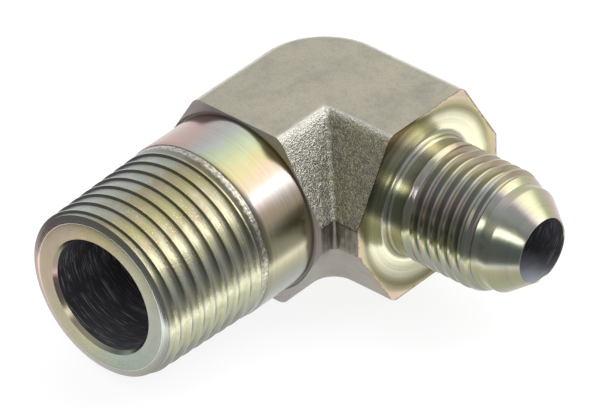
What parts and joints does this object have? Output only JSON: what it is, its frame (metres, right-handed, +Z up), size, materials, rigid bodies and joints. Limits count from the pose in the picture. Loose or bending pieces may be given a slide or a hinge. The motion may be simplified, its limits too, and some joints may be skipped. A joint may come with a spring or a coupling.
{
  "type": "hydraulic elbow adapter",
  "caption": "Forged right-angle steel adapter with a tapered pipe thread on one arm and a straight thread with a flare cone on the other, bored through.",
  "frame": {"origin": "on the lower forged flat, directly under the point where the two bore axes cross", "axes": "+X out of the pipe-thread end, +Y out of the flare end, +Z up through the forged flats, square to both bores"},
  "size_m": [0.0483, 0.043, 0.0222],
  "materials": {
    "plated_steel": "yellow iridescent zinc plating, satin on the forged body and bright on the turned ends"
  },
  "bodies": {
    "root": {"elbow_body": "plated_steel"}
  },
  "joints": []
}
